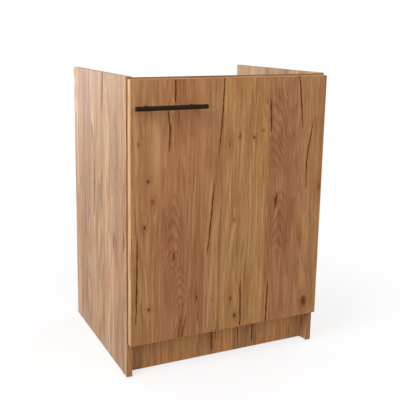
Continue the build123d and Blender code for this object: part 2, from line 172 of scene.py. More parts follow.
class Shader:
    """Short way to add nodes to one tree and join them."""

    def __init__(self, tree: bpy.types.NodeTree) -> None:
        """Keeps the tree that the nodes go into."""
        self.tree = tree

    def fill(self, node: bpy.types.Node, inputs: Inputs) -> None:
        """Links inputs of a node to other nodes, or sets their own values.

        Args:
            node: node with the inputs.
            inputs: outputs of other nodes and constants, by input name or number.
        """
        for key, value in inputs.items():
            if isinstance(value, Wire):
                self.tree.links.new(value.socket, node.inputs[key])
            else:
                node.inputs[key].default_value = value

    def add(self, kind: str, inputs: Inputs, **props: object) -> bpy.types.Node:
        """Adds a node.

        Args:
            kind: type name of the node.
            inputs: outputs of other nodes and constants, by input name or number.
            props: settings of the node itself.

        Returns:
            The new node.
        """
        node = self.tree.nodes.new(kind)
        for key, value in props.items():
            setattr(node, key, value)
        self.fill(node, inputs)
        return node

    def outputs(self, kind: str, inputs: Inputs, **props: object) -> dict[str, Wire]:
        """All outputs of a new node, by name."""
        node = self.add(kind, inputs, **props)
        return {socket.name: Wire(self, socket) for socket in node.outputs if socket.name}

    def output(self, kind: str, inputs: Inputs, key: str | int = 0, **props: object) -> Wire:
        """One output of a new node."""
        return Wire(self, self.add(kind, inputs, **props).outputs[key])

    def math(self, operation: str, *values: Value) -> Wire:
        """Result of one sum on values."""
        return self.output("ShaderNodeMath", dict(enumerate(values)), operation=operation)

    def most(self, first: Value, second: Value) -> Wire:
        """Larger of two values."""
        return self.math("MAXIMUM", first, second)

    def space(self, operation: str, *vectors: Value) -> Wire:
        """Result of one sum on vectors."""
        return self.output("ShaderNodeVectorMath", dict(enumerate(vectors)), operation=operation)

    def vector(self, x: Value, y: Value, z: Value = 0.0) -> Wire:
        """Vector put together from three values."""
        return self.output("ShaderNodeCombineXYZ", {0: x, 1: y, 2: z})

    def parts(self, vector: Value) -> list[Wire]:
        """The three values of a vector."""
        return list(self.outputs("ShaderNodeSeparateXYZ", {0: vector}).values())

    def noise(self, point: Value, cloud: Cloud, w: Value = 0.0) -> Wire:
        """Cloudy value from 0 to 1.

        Args:
            point: place on the surface, in metres.
            cloud: settings of the noise.
            w: fourth coordinate, which gives each piece its own clouds.

        Returns:
            The cloud's value.
        """
        inputs = {"Vector": self.space("MULTIPLY", point, cloud.scale), "W": w, "Scale": 1.0,
                  "Detail": cloud.detail, "Roughness": cloud.roughness}
        value = self.output("ShaderNodeTexNoise", inputs, noise_dimensions="4D")
        return self.window(value, *cloud.levels) if cloud.levels else value

    def window(self, value: Value, low: Value, high: Value,
               to_low: float = 0.0, to_high: float = 1.0) -> Wire:
        """Smooth step from one level to another.

        Args:
            value: value to test.
            low: value at which the first level ends.
            high: value at which the second level starts.
            to_low: first level.
            to_high: second level.

        Returns:
            The stepped value.
        """
        inputs = {"Value": value, "From Min": low, "From Max": high, "To Min": to_low, "To Max": to_high}
        return self.output("ShaderNodeMapRange", inputs, interpolation_type="SMOOTHSTEP")

    def mix(self, factor: Value, first: Value, second: Value, blend: str = "MIX") -> Wire:
        """Mix of two colours."""
        inputs = {0: factor, 6: first, 7: second}
        return self.output("ShaderNodeMix", inputs, 2, data_type="RGBA", blend_type=blend)

    def tinted(self, colour: Value, factor: Value, dark: Colour, light: Colour) -> Wire:
        """Colour multiplied by a tint that runs from dark to light."""
        return self.mix(1.0, colour, self.mix(factor, dark, light), "MULTIPLY")

    def bump(self, height: Value, strength: float, distance: float) -> Wire:
        """Normal of a surface with a fine relief."""
        return self.output("ShaderNodeBump", {"Height": height, "Strength": strength, "Distance": distance})

    def ramp(self, value: Wire, stops: Sequence[tuple[float, Colour]]) -> dict[str, Wire]:
        """Colour ramp through the given stops.

        Args:
            value: place on the ramp, from 0 to 1.
            stops: position and colour of each stop.

        Returns:
            The ramp's colour and alpha.
        """
        made = self.outputs("ShaderNodeValToRGB", {0: value})
        elements = made["Color"].socket.node.color_ramp.elements
        while len(elements) < len(stops):
            elements.new(1.0)
        for element, (position, colour) in zip(elements, stops):
            element.position = position
            element.color = colour
        return made


class Effect:
    """Shader node group that is built once and placed in each material with its own values."""

    name: ClassVar[str]
    points: ClassVar[tuple[str, ...]] = ("Point",)
    values: ClassVar[tuple[str, ...]] = ()
    results: ClassVar[tuple[str, ...]] = ("Mask",)

    @classmethod
    def build(cls, shader: Shader, given: Wires) -> Wires:
        """Builds the group's nodes.

        Args:
            shader: builder for the group's tree.
            given: the group's inputs by name.

        Returns:
            The group's outputs by name.
        """
        raise NotImplementedError

    @classmethod
    def tree(cls) -> bpy.types.NodeTree:
        """Builds the group's tree on its first use.

        Returns:
            The group's tree.
        """
        if cls.name in bpy.data.node_groups:
            return bpy.data.node_groups[cls.name]
        tree = bpy.data.node_groups.new(cls.name, "ShaderNodeTree")
        sides = ((cls.points, "INPUT", Socket.POINT), (cls.values, "INPUT", Socket.VALUE),
                 (cls.results, "OUTPUT", Socket.VALUE))
        for names, side, kind in sides:
            for name in names:
                tree.interface.new_socket(name, in_out=side, socket_type=kind.value)
        shader = Shader(tree)
        shader.add("NodeGroupOutput", cls.build(shader, shader.outputs("NodeGroupInput", {})))
        return tree

    @classmethod
    def place(cls, shader: Shader, **values: Value) -> dict[str, Wire]:
        """Puts the group into a material, with its inputs by name, and gives its outputs by name."""
        return shader.outputs("ShaderNodeGroup", values, node_tree=cls.tree())


class BoardGrain(Effect):
    """Printed oak grain: streaks, rings, fibres, pores, checks, blushes and small knots that bend it."""

    name = "board_grain"
    values = ("Plank", "Seed")
    results = ("Streak", "Ring", "Fibre", "Pore", "Check", "Blush", "Eye")
    plank_stride = 40.0
    cells_across = 9.0
    cells_along = 4.5
    cell_scatter = 0.9
    largest_eye = 0.011
    eye_sizes = (0.65, 1.0, 0.02, 1.0)
    eye_lengths = (0.0, 1.0, 1.4, 4.0)
    heart_levels = (0.75, 0.1)
    halo_levels = (2.6, 0.5)
    push_fall = 0.5
    ragged = Cloud((160.0, 60.0, 0.0), 2.0)
    sways = Cloud((4.0, 2.6, 3.0), 2.5)
    sway_reach = 0.034
    streaks = Cloud((48.0, 2.6, 8.0), 5.0, 0.72, (0.34, 0.66))
    heights = Cloud((7.0, 0.6, 6.0), 2.0, 0.4)
    ring_count = 30.0
    ring_rise = (0.15, 0.85)
    ring_fall = (1.0, 0.88)
    fibres = Cloud((260.0, 7.0, 60.0), 5.0, 0.75, (0.32, 0.68))
    pores = Cloud((1100.0, 26.0, 160.0), 2.0, levels=(0.56, 0.68))
    checks = Cloud((170.0, 5.0, 30.0), 2.0, levels=(0.6, 0.7))
    check_patches = Cloud((13.0, 3.0, 6.0), 1.0, levels=(0.48, 0.6))
    blushes = Cloud((20.0, 6.0, 6.0), 3.5, 0.65, (0.46, 0.72))

    @classmethod
    def eyes(cls, shader: Shader, point: Wire, w: Wire) -> dict[str, Wire]:
        """Scatters small knots over the board.

        Args:
            shader: builder for the group's tree.
            point: place on the board as (across, along, through).
            w: number of the plank, which moves its knots about.

        Returns:
            The knots' hearts, their halos and the distance by which they push the grain aside.
        """
        across, along, _ = shader.parts(point)
        spread = shader.vector(across * cls.cells_across + w, along * cls.cells_along + w)
        inputs = {"Vector": spread, "Scale": 1.0, "Randomness": cls.cell_scatter}
        cells = shader.outputs("ShaderNodeTexVoronoi", inputs, voronoi_dimensions="2D")
        beside, above, _ = shader.parts(shader.space("SUBTRACT", spread, cells["Position"]))
        chance, slender, _ = shader.parts(cells["Color"])
        reach = shader.window(chance, *cls.eye_sizes) * cls.largest_eye
        length = reach * shader.window(slender, *cls.eye_lengths)
        side = beside / (reach * cls.cells_across)
        rise = above / (length * cls.cells_along)
        square = side * side + rise * rise
        radius = shader.math("SQRT", square) + (shader.noise(point, cls.ragged, w) - 0.5)
        push = side / (square * cls.push_fall + 1.0) * reach
        return {"heart": shader.window(radius, *cls.heart_levels),
                "halo": shader.window(radius, *cls.halo_levels), "push": push}

    @classmethod
    def build(cls, shader: Shader, given: Wires) -> Wires:
        """Builds the grain in a frame of (across, along, through).

        Args:
            shader: builder for the group's tree.
            given: the group's inputs by name.

        Returns:
            The group's outputs by name.
        """
        w = given["Plank"] * cls.plank_stride + given["Seed"]
        eyes = cls.eyes(shader, given["Point"], w)
        across, along, through = shader.parts(given["Point"])
        sway = (shader.noise(given["Point"], cls.sways, w) - 0.5) * cls.sway_reach
        point = shader.vector(across + sway - eyes["push"], along, through)
        rings = shader.math("FRACT", shader.noise(point, cls.heights, w) * cls.ring_count)
        ring = shader.window(rings, *cls.ring_rise) * shader.window(rings, *cls.ring_fall)
        check = shader.noise(point, cls.checks, w) * shader.noise(point, cls.check_patches, w)
        blush = shader.most(shader.noise(point, cls.blushes, w), eyes["halo"])
        return {"Streak": shader.noise(point, cls.streaks, w), "Ring": ring,
                "Fibre": shader.noise(point, cls.fibres, w), "Pore": shader.noise(point, cls.pores, w),
                "Check": check, "Blush": blush, "Eye": eyes["heart"]}


class DarkSplit(Effect):
    """One long dark split in the grain, which wavers and tapers to both ends."""

    name = "dark_split"
    points = ("Point", "Top", "Foot")
    values = ("Bow", "Width", "Others")
    wavers = Cloud((0.0, 34.0, 0.0))
    waver_reach = 0.006
    frays = Cloud((620.0, 30.0, 0.0))
    fray_share = 1.6
    swells = Cloud((0.0, 60.0, 0.0), 2.0)
    least_swell = 0.25
    taper_power = 0.45
    outer_share = 1.35
    inner_share = 0.15
    end_share = 0.08

    @classmethod
    def build(cls, shader: Shader, given: Wires) -> Wires:
        """Builds the split between its two ends.

        Args:
            shader: builder for the group's tree.
            given: the group's inputs by name.

        Returns:
            The group's outputs by name.
        """
        across, along, _ = shader.parts(given["Point"])
        top_across, top_along, _ = shader.parts(given["Top"])
        foot_across, foot_along, _ = shader.parts(given["Foot"])
        share = (along - foot_along) / (top_along - foot_along)
        belly = share * (1.0 - share) * 4.0
        waver = (shader.noise(given["Point"], cls.wavers, foot_across) - 0.5) * cls.waver_reach
        line = foot_across + (top_across - foot_across) * share + given["Bow"] * belly + waver
        fray = shader.noise(given["Point"], cls.frays, top_across) - 0.5
        swell = shader.noise(given["Point"], cls.swells, top_across) + cls.least_swell
        taper = shader.math("POWER", shader.most(belly, 0.0), cls.taper_power)
        half = given["Width"] * taper * swell
        away = fray * (half * cls.fray_share) + shader.math("ABSOLUTE", across - line)
        core = shader.window(away, half * cls.outer_share, half * cls.inner_share)
        mask = core * shader.window(belly, 0.0, cls.end_share)
        return {"Mask": shader.most(mask, given["Others"])}


class OvalEffect(Effect):
    """Effect about a heart on the board, with a reach each way."""

    points = ("Point", "Heart", "Reach")

    @classmethod
    def away(cls, shader: Shader, given: Wires) -> list[Wire]:
        """Distances from the heart across and along the board, in parts of the reach."""
        ways = zip(*(shader.parts(given[name])[:2] for name in cls.points))
        return [(place - heart) / reach for place, heart, reach in ways]


class Knot(OvalEffect):
    """One knot: a dark heart, a ringed halo, and the distance by which it bends the grain."""

    name = "knot"
    values = ("Core", "Halo", "Bend")
    results = ("Core", "Halo", "Bend")
    ragged = Cloud((130.0, 60.0, 0.0))
    ragged_share = 0.9
    core_levels = (1.0, 0.3)
    halo_levels = (2.8, 0.7)
    ring_step = 9.0
    ring_levels = (-1.0, 1.0, 0.35, 1.0)
    bend_share = 0.9
    bend_fall = 0.6

    @classmethod
    def build(cls, shader: Shader, given: Wires) -> Wires:
        """Builds the knot about its heart and adds it to the knots before it.

        Args:
            shader: builder for the group's tree.
            given: the group's inputs by name.

        Returns:
            The group's outputs by name.
        """
        side, rise = cls.away(shader, given)
        heart_along = shader.parts(given["Heart"])[1]
        reach_across = shader.parts(given["Reach"])[0]
        ragged = shader.noise(given["Point"], cls.ragged, heart_along) - 0.5
        square = side * side + rise * rise
        radius = ragged * cls.ragged_share + shader.math("SQRT", square)
        rings = shader.math("SINE", radius * cls.ring_step)
        halo = shader.window(radius, *cls.halo_levels) * shader.window(rings, *cls.ring_levels)
        bend = side / (square * cls.bend_fall + 1.0) * reach_across * cls.bend_share
        return {"Core": shader.most(shader.window(radius, *cls.core_levels), given["Core"]),
                "Halo": shader.most(halo, given["Halo"]), "Bend": bend + given["Bend"]}


class Flame(OvalEffect):
    """Arched figure where the growth rings run out at the surface, one arch above the other."""

    name = "flame"
    values = ("Lean", "Others")
    arches_per_metre = 30.0
    arch_bend = 6.0
    line_rise = (0.25, 0.7)
    line_fall = (1.0, 0.85)
    inside_levels = (1.0, 0.3)
    wavers = Cloud((22.0, 8.0, 0.0), 2.0)
    waver_share = 3.5

    @classmethod
    def build(cls, shader: Shader, given: Wires) -> Wires:
        """Builds the arches about their middle line.

        Args:
            shader: builder for the group's tree.
            given: the group's inputs by name.

        Returns:
            The group's outputs by name.
        """
        side, rise = cls.away(shader, given)
        along = shader.parts(given["Point"])[1]
        heart_across = shader.parts(given["Heart"])[0]
        square = side * side
        waver = shader.noise(given["Point"], cls.wavers, heart_across) * cls.waver_share
        level = along * cls.arches_per_metre + side * given["Lean"] + square * cls.arch_bend
        arches = shader.math("FRACT", level + waver)
        lines = shader.window(arches, *cls.line_rise) * shader.window(arches, *cls.line_fall)
        inside = shader.window(rise * rise + square, *cls.inside_levels)
        return {"Mask": shader.most(lines * inside, given["Others"])}


class RawChips(Effect):
    """Cut edge of chipboard: pressed chips of mixed tones with small voids between them."""

    name = "raw_chips"
    results = ("Tone", "Void")
    chips_per_metre = 420.0
    voids = Cloud((260.0, 260.0, 260.0), levels=(0.6, 0.68))

    @classmethod
    def build(cls, shader: Shader, given: Wires) -> Wires:
        """Builds the chips from cells, and the voids.

        Args:
            shader: builder for the group's tree.
            given: the group's inputs by name.

        Returns:
            The group's outputs by name.
        """
        inputs = {"Vector": given["Point"], "Scale": cls.chips_per_metre, "Randomness": 1.0}
        tone = shader.parts(shader.outputs("ShaderNodeTexVoronoi", inputs)["Color"])[0]
        return {"Tone": tone, "Void": shader.noise(given["Point"], cls.voids)}


class Handling(Effect):
    """Uneven sheen from touching, wiping and making: broad smears and fine grain."""

    name = "handling"
    values = ("Seed",)
    results = ("Smear", "Speck")
    smears = Cloud((9.0, 9.0, 6.0), 4.0, 0.6, (0.3, 0.7))
    specks = Cloud((2600.0, 2600.0, 2600.0), 1.0)

    @classmethod
    def build(cls, shader: Shader, given: Wires) -> Wires:
        """Builds the smears and the specks."""
        clouds = {"Smear": cls.smears, "Speck": cls.specks}
        return {name: shader.noise(given["Point"], cloud, given["Seed"]) for name, cloud in clouds.items()}


class Finish:
    """Surface finish that makes its material on its first use."""

    name: str
    made: ClassVar[dict[str, bpy.types.Material]] = {}

    def dress(self, shader: Shader, surface: bpy.types.Node) -> None:
        """Joins the finish to its surface shader.

        Args:
            shader: builder for the material's tree.
            surface: the material's Principled BSDF.
        """
        raise NotImplementedError

    def material(self) -> bpy.types.Material:
        """Builds the finish's material on its first use.

        Returns:
            The finish's material.
        """
        if self.name not in self.made:
            material = bpy.data.materials.new(self.name)
            material.use_nodes = True
            self.dress(Shader(material.node_tree), material.node_tree.nodes["Principled BSDF"])
            self.made[self.name] = material
        return self.made[self.name]

    def apply(self, piece: bpy.types.Object) -> None:
        """Gives a piece this finish all over."""
        piece.data.materials.clear()
        piece.data.materials.append(self.material())


@dataclass(frozen=True)
class Plank:
    """One printed plank: where it starts across the board, in metres, and its tone."""

    start: float
    tone: Tone


class Mark:
    """Mark at a set place of a board, with fields named as the inputs of its effect."""

    def inputs(self) -> dict[str, Value]:
        """The mark's values by the names of the effect's inputs, with each place as a point."""
        points = {key: (*value, 0.0) for key, value in vars(self).items() if isinstance(value, tuple)}
        return {key.capitalize(): value for key, value in (vars(self) | points).items()}


@dataclass(frozen=True)
class Split(Mark):
    """One dark split between two points (across, along) of a board, in metres."""

    top: Place
    foot: Place
    bow: float = 0.0
    width: float = 0.004


@dataclass(frozen=True)
class OvalMark(Mark):
    """One mark about a point (across, along) of a board, with its reach each way, in metres."""

    heart: Place
    reach: Place


@dataclass(frozen=True)
class KnotMark(OvalMark):
    """One knot."""


@dataclass(frozen=True)
class FlameMark(OvalMark):
    """One flame figure: a lean of 0 sets its arches upright, and more moves their tops to the side."""

    lean: float = 0.0


@dataclass(frozen=True)
class Stain:
    """Colour that a mask lays over the print, and the share of it that shows."""

    share: float
    tone: Colour


GRAIN_TINTS: dict[str, tuple[Colour, Colour]] = {
    "Streak": ((0.87, 0.83, 0.79, 1.0), (1.09, 1.11, 1.12, 1.0)),
    "Ring": ((1.03, 1.04, 1.04, 1.0), (0.89, 0.85, 0.81, 1.0)),
    "Fibre": ((0.76, 0.72, 0.68, 1.0), (1.14, 1.16, 1.17, 1.0)),
    "Blush": ((1.03, 1.06, 1.06, 1.0), (0.92, 0.79, 0.72, 1.0))}
STAINS: dict[str, Stain] = {
    "flame": Stain(0.5, paint(126, 74, 42)),
    "pore": Stain(0.35, paint(92, 55, 30)),
    "eye": Stain(0.55, paint(100, 50, 18)),
    "halo": Stain(0.45, paint(128, 70, 32)),
    "core": Stain(0.88, paint(84, 37, 6)),
    "dark": Stain(0.7, paint(112, 54, 14)),
    "deep": Stain(0.9, paint(80, 34, 4))}
DARK_CHIP = paint(138, 108, 76)
LIGHT_CHIP = paint(186, 154, 114)
CHIP_VOID = Stain(0.6, paint(92, 66, 42))


@dataclass(frozen=True)
class Laminate(Finish):
    """Wood-look laminate on a board: planks, grain, splits and knots, with raw chips on cut edges."""

    name: str
    board: Board
    planks: tuple[Plank, ...]
    end: float
    seed: float
    splits: tuple[Split, ...] = ()
    knots: tuple[KnotMark, ...] = ()
    flames: tuple[FlameMark, ...] = ()
    cut_edges: bool = True
    seam: float = 0.0012
    sheen: float = 0.1
    figure: float = 1.0
    band_half: ClassVar[float] = 0.3
    check_share: ClassVar[float] = 0.5
    deep_levels: ClassVar[Place] = (0.3, 0.95)
    rough_levels: ClassVar[Place] = (0.40, 0.50)
    cut_levels: ClassVar[Place] = (0.95, 0.8)
    cut_roughness: ClassVar[float] = 0.85
    void_depth: ClassVar[float] = 6.0
    fibre_height: ClassVar[float] = 0.4
    relief: ClassVar[Place] = (0.25, 0.0001)

    @classmethod
    def band(cls, name: str, board: Board, tone: Tone, seed: float) -> "Laminate":
        """Edge band in one tone."""
        return cls(name, board, (Plank(-cls.band_half, tone),), cls.band_half, seed, cut_edges=False)

    def strong(self, tint: Colour) -> Colour:
        """Tint of the grain, as strong as this board's figure."""
        red, green, blue = (1.0 + (level - 1.0) * self.figure for level in tint[:3])
        return red, green, blue, 1.0

    def plank_stops(self) -> list[tuple[float, Colour]]:
        """Lists the ramp stops of the planks.

        Returns:
            Two stops for each plank; their alpha tells the planks apart.
        """
        low = self.planks[0].start
        width = self.end - low
        ends = [plank.start for plank in self.planks[1:]] + [self.end]
        stops: list[tuple[float, Colour]] = []
        for number, (plank, finish) in enumerate(zip(self.planks, ends)):
            red, green, blue, _ = paint(*plank.tone.value)
            colour = (red, green, blue, number / len(self.planks))
            stops.append(((plank.start + self.seam - low) / width, colour))
            stops.append(((finish - self.seam - low) / width, colour))
        return stops

    def frame(self, shader: Shader, places: Wires) -> tuple[tuple[Wire, Wire, Wire], Wire]:
        """Finds the place on the board, with the print of the back face turned round.

        Args:
            shader: builder for the material's tree.
            places: the material's texture coordinates.

        Returns:
            The distances across, along and through the board, and how far the surface faces through it.
        """
        axes = dict(zip("XYZ", shader.parts(places["Object"])))
        across, along, through = (axes[axis] for axis in self.board.value)
        facing = dict(zip("XYZ", shader.parts(places["Normal"])))[self.board.value[2]]
        turn = shader.math("GREATER_THAN", facing, 0.5) * -2.0 + 1.0
        return (across * turn, along, through), facing

    def marks(self, shader: Shader, place: tuple[Wire, Wire, Wire]) -> tuple[Wire, dict[str, Wire]]:
        """Adds the knots, the flames and the splits that the board has at set places.

        Args:
            shader: builder for the material's tree.
            place: distances across, along and through the board.

        Returns:
            The point that the grain is read at, and the masks of the marks that the board has.
        """
        across, along, through = place
        point = bent = shader.vector(across, along, through)
        masks: dict[str, Wire] = {}
        knots: dict[str, Value] = dict.fromkeys(Knot.results, 0.0)
        for knot in self.knots:
            knots = Knot.place(shader, Point=point, **knot.inputs(), **knots)
        if self.knots:
            bent = shader.vector(across - knots["Bend"], along, through)
            masks |= {"halo": knots["Halo"], "core": knots["Core"]}
        kinds = (("flame", Flame, bent, self.flames), ("split", DarkSplit, point, self.splits))
        for name, effect, spot, marks in kinds:
            for mark in marks:
                placed = effect.place(shader, Point=spot, Others=masks.get(name, 0.0), **mark.inputs())
                masks[name] = placed["Mask"]
        return bent, masks

    def print_colour(self, shader: Shader, planks: Wire, grain: Wires, masks: Wires) -> Wire:
        """Mixes the colour of the printed face.

        Args:
            shader: builder for the material's tree.
            planks: colour of the planks.
            grain: outputs of the grain.
            masks: masks of the stains on the grain, by name.

        Returns:
            The colour.
        """
        colour = planks
        for name, (low, high) in GRAIN_TINTS.items():
            colour = shader.tinted(colour, grain[name], self.strong(low), self.strong(high))
        for name, stain in STAINS.items():
            if name in masks:
                colour = shader.mix(masks[name] * stain.share, colour, stain.tone)
        return colour

    def dress(self, shader: Shader, surface: bpy.types.Node) -> None:
        """Joins the laminate to its surface shader.

        Args:
            shader: builder for the material's tree.
            surface: the material's Principled BSDF.
        """
        places = shader.outputs("ShaderNodeTexCoord", {})
        place, facing = self.frame(shader, places)
        point, masks = self.marks(shader, place)
        spread = {"Value": place[0], "From Min": self.planks[0].start, "From Max": self.end}
        planks = shader.ramp(shader.output("ShaderNodeMapRange", spread), self.plank_stops())
        grain = BoardGrain.place(shader, Point=point, Plank=planks["Alpha"], Seed=self.seed)
        dark = grain["Check"] * self.check_share
        if self.splits:
            dark = shader.most(dark, masks["split"])
        masks |= {"pore": grain["Pore"], "eye": grain["Eye"], "dark": dark,
                  "deep": shader.window(dark, *self.deep_levels)}
        colour = self.print_colour(shader, planks["Color"], grain, masks)
        handling = Handling.place(shader, Point=places["Object"], Seed=self.seed)
        rough = shader.window(handling["Smear"], 0.0, 1.0, *self.rough_levels)
        relief = grain["Fibre"] * self.fibre_height - (grain["Pore"] + dark)
        if self.cut_edges:
            cut = shader.window(shader.math("ABSOLUTE", facing), *self.cut_levels)
            chips = RawChips.place(shader, Point=places["Object"])
            raw = shader.mix(chips["Tone"], DARK_CHIP, LIGHT_CHIP)
            raw = shader.mix(chips["Void"] * CHIP_VOID.share, raw, CHIP_VOID.tone)
            colour = shader.mix(cut, colour, raw)
            rough = shader.most(rough, cut * self.cut_roughness)
            relief = relief - chips["Void"] * cut * self.void_depth
        shader.fill(surface, {
            "Base Color": colour, "Roughness": rough, "Normal": shader.bump(relief, *self.relief),
            "Coat Weight": (1.0 - dark) * self.sheen, "Coat Roughness": 0.55, "Specular IOR Level": 0.06})


@dataclass(frozen=True)
class PlatedMetal(Finish):
    """Plated or bare metal with fine tool marks and a slightly uneven sheen."""

    name: str
    dark: Colour
    light: Colour
    roughness: float
    marks: Space
    seed: float
    unevenness: float = 0.03
    mark_levels: ClassVar[Place] = (0.3, 0.7)
    relief: ClassVar[Place] = (0.04, 0.00005)

    def dress(self, shader: Shader, surface: bpy.types.Node) -> None:
        """Joins the metal to its surface shader.

        Args:
            shader: builder for the material's tree.
            surface: the material's Principled BSDF.
        """
        point = shader.output("ShaderNodeTexCoord", {}, "Object")
        smear = Handling.place(shader, Point=point, Seed=self.seed)["Smear"]
        marks = shader.noise(point, Cloud(self.marks, 2.0), self.seed)
        spread = shader.window(marks, *self.mark_levels, -self.unevenness, self.unevenness)
        shader.fill(surface, {
            "Base Color": shader.mix(smear, self.dark, self.light), "Roughness": spread + self.roughness,
            "Metallic": 1.0, "Normal": shader.bump(marks, *self.relief)})


@dataclass(frozen=True)
class CoatedPlastic(Finish):
    """Powder coat, moulded plastic or rubber: one colour with a fine orange peel and worn sheen."""

    name: str
    dark: Colour
    light: Colour
    roughness: Place
    peel: float
    seed: float
    gloss: float = 0.5
    peel_depth: ClassVar[float] = 0.0001

    def dress(self, shader: Shader, surface: bpy.types.Node) -> None:
        """Joins the coat to its surface shader.

        Args:
            shader: builder for the material's tree.
            surface: the material's Principled BSDF.
        """
        point = shader.output("ShaderNodeTexCoord", {}, "Object")
        handling = Handling.place(shader, Point=point, Seed=self.seed)
        shader.fill(surface, {
            "Base Color": shader.mix(handling["Smear"], self.dark, self.light),
            "Roughness": shader.window(handling["Smear"], 0.0, 1.0, *self.roughness),
            "Specular IOR Level": self.gloss,
            "Normal": shader.bump(handling["Speck"], self.peel, self.peel_depth)})


HANDLE_BLACK = CoatedPlastic("handle_black", paint(30, 20, 11), paint(36, 25, 14), (0.5, 0.62), 0.25, 3.0,
                             gloss=0.08)
GLIDE_PLASTIC = CoatedPlastic("moulded_glide", paint(58, 55, 52), paint(72, 69, 65), (0.45, 0.6), 0.2, 5.0)
BUFFER_RUBBER = CoatedPlastic("soft_buffer", paint(206, 207, 204), paint(222, 223, 220), (0.4, 0.55),
                              0.1, 7.0)
CAST_ZINC = PlatedMetal("cast_zinc", paint(138, 138, 136), paint(172, 172, 168), 0.42,
                        (700.0, 700.0, 700.0), 2.0)
SCREW_STEEL = PlatedMetal("screw_steel", paint(176, 174, 168), paint(204, 202, 196), 0.28,
                          (900.0, 900.0, 900.0), 4.0)
HINGE_NICKEL = PlatedMetal("hinge_nickel", paint(186, 182, 174), paint(212, 208, 200), 0.24,
                           (90.0, 900.0, 400.0), 6.0)
DOWEL_BEECH = Laminate("dowel_beech", Board.LENGTHWISE, (Plank(0.0, Tone.BEECH),), 1.0, 9.0, cut_edges=False)


def soften(piece: bpy.types.Object, width: float) -> None:
    """Rounds a piece's sharp edges over with modifiers.

    Args:
        piece: object with the sharp edges.
        width: width of the rounding, in metres.
    """
    weld = piece.modifiers.new("weld", "WELD")
    weld.merge_threshold = SAME_POINT
    bevel = piece.modifiers.new("soft_edges", "BEVEL")
    bevel.width = width
    bevel.segments = 2
    bevel.limit_method = "ANGLE"
    bevel.angle_limit = BEVEL_ANGLE
    piece.modifiers.new("even_shading", "WEIGHTED_NORMAL")


def add_prism(mesh: bmesh.types.BMesh, frame: Matrix, low: Sequence[Vector], high: Sequence[Vector]) -> None:
    """Adds a closed shape between two outlines.

    Args:
        mesh: mesh that takes the shape.
        frame: frame that the outlines are given in.
        low: corners of the lower outline, counter-clockwise from above.
        high: corners of the upper outline, in the same order.
    """
    floor = [mesh.verts.new(frame @ corner) for corner in low]
    roof = [mesh.verts.new(frame @ corner) for corner in high]
    mesh.faces.new(list(reversed(floor)))
    mesh.faces.new(roof)
    for number in range(len(floor)):
        after = (number + 1) % len(floor)
        mesh.faces.new((floor[number], floor[after], roof[after], roof[number]))


@dataclass(frozen=True)
class DriverRecess:
    """Cross-shaped driver recess that narrows towards its floor, sized by the head's radius."""

    span: float = 1.1
    arm: float = 0.3
    depth: float = 0.34
    floor: float = 0.5
    proud: float = 0.2

    def corners(self, share: float, radius: float, height: float) -> list[Vector]:
        """Corners of the cross at one height.

        Args:
            share: size of the cross at that height, where 1 is its size at the mouth.
            radius: radius of the head.
            height: height above the mouth.

        Returns:
            The twelve corners, in order round the cross.
        """
        tip, root = share * radius * self.span / 2, share * radius * self.arm / 2
        quarter = (Vector((tip, -root, height)), Vector((tip, root, height)), Vector((root, root, height)))
        turns = [Matrix.Rotation(math.radians(90.0 * number), 3, "Z") for number in range(4)]
        return [turn @ corner for turn in turns for corner in quarter]

    def cut(self, cutter: bmesh.types.BMesh, frame: Matrix, radius: float) -> None:
        """Adds the shape that cuts one recess.

        Args:
            cutter: mesh that takes the shape.
            frame: frame on the head, with z pointing out of it.
            radius: radius of the head.
        """
        slope = (1.0 - self.floor) / self.depth
        add_prism(cutter, frame, self.corners(self.floor, radius, -self.depth * radius),
                  self.corners(1.0 + slope * self.proud, radius, self.proud * radius))


